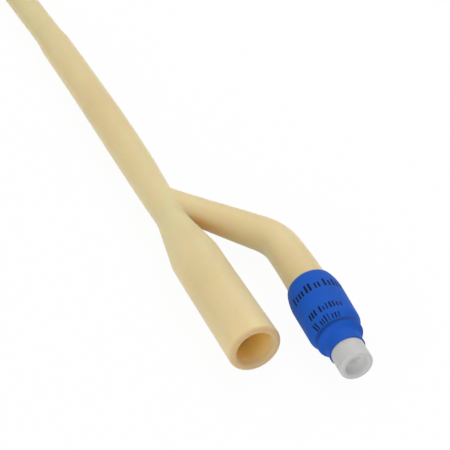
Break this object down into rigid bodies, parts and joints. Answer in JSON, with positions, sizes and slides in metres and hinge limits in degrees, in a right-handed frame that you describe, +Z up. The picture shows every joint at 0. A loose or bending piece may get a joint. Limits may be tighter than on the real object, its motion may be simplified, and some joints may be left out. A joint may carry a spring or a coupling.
{
  "type": "foley urinary catheter",
  "caption": "Two-way balloon catheter with a tapered drainage funnel, an inflation arm and a sprung inflation valve under a colour-coded sleeve.",
  "frame": {"origin": "middle of the catheter's base, on the surface that it lies on", "axes": "+Y along the shaft from the drainage funnel to the rounded tip, +X towards the inflation arm, +Z up"},
  "size_m": [0.063, 0.4134, 0.0143],
  "materials": {
    "latex": "dipped latex, satin, with a thin silicone coat",
    "balloon_latex": "thin latex, satin",
    "blue_film": "soft coloured film",
    "white_plastic": "moulded, satin",
    "natural_plastic": "moulded, uncoloured",
    "seal_rubber": "matte",
    "spring_steel": "bright drawn wire"
  },
  "bodies": {
    "catheter": {"catheter_body": "latex", "balloon": "balloon_latex", "size_sleeve": "blue_film", "valve_body": "white_plastic", "valve_tail": "natural_plastic", "valve_spring": "spring_steel"},
    "plunger": {"valve_plunger": "natural_plastic", "valve_seal": "seal_rubber"}
  },
  "joints": [
    {"name": "plunger_press", "type": "slide", "parent": "catheter", "child": "plunger", "axis": [0.0641, 0.9979, 0], "range_m": [0, 0.0013], "stiffness_N_per_m": 300, "deforming": ["valve_spring"]}
  ]
}
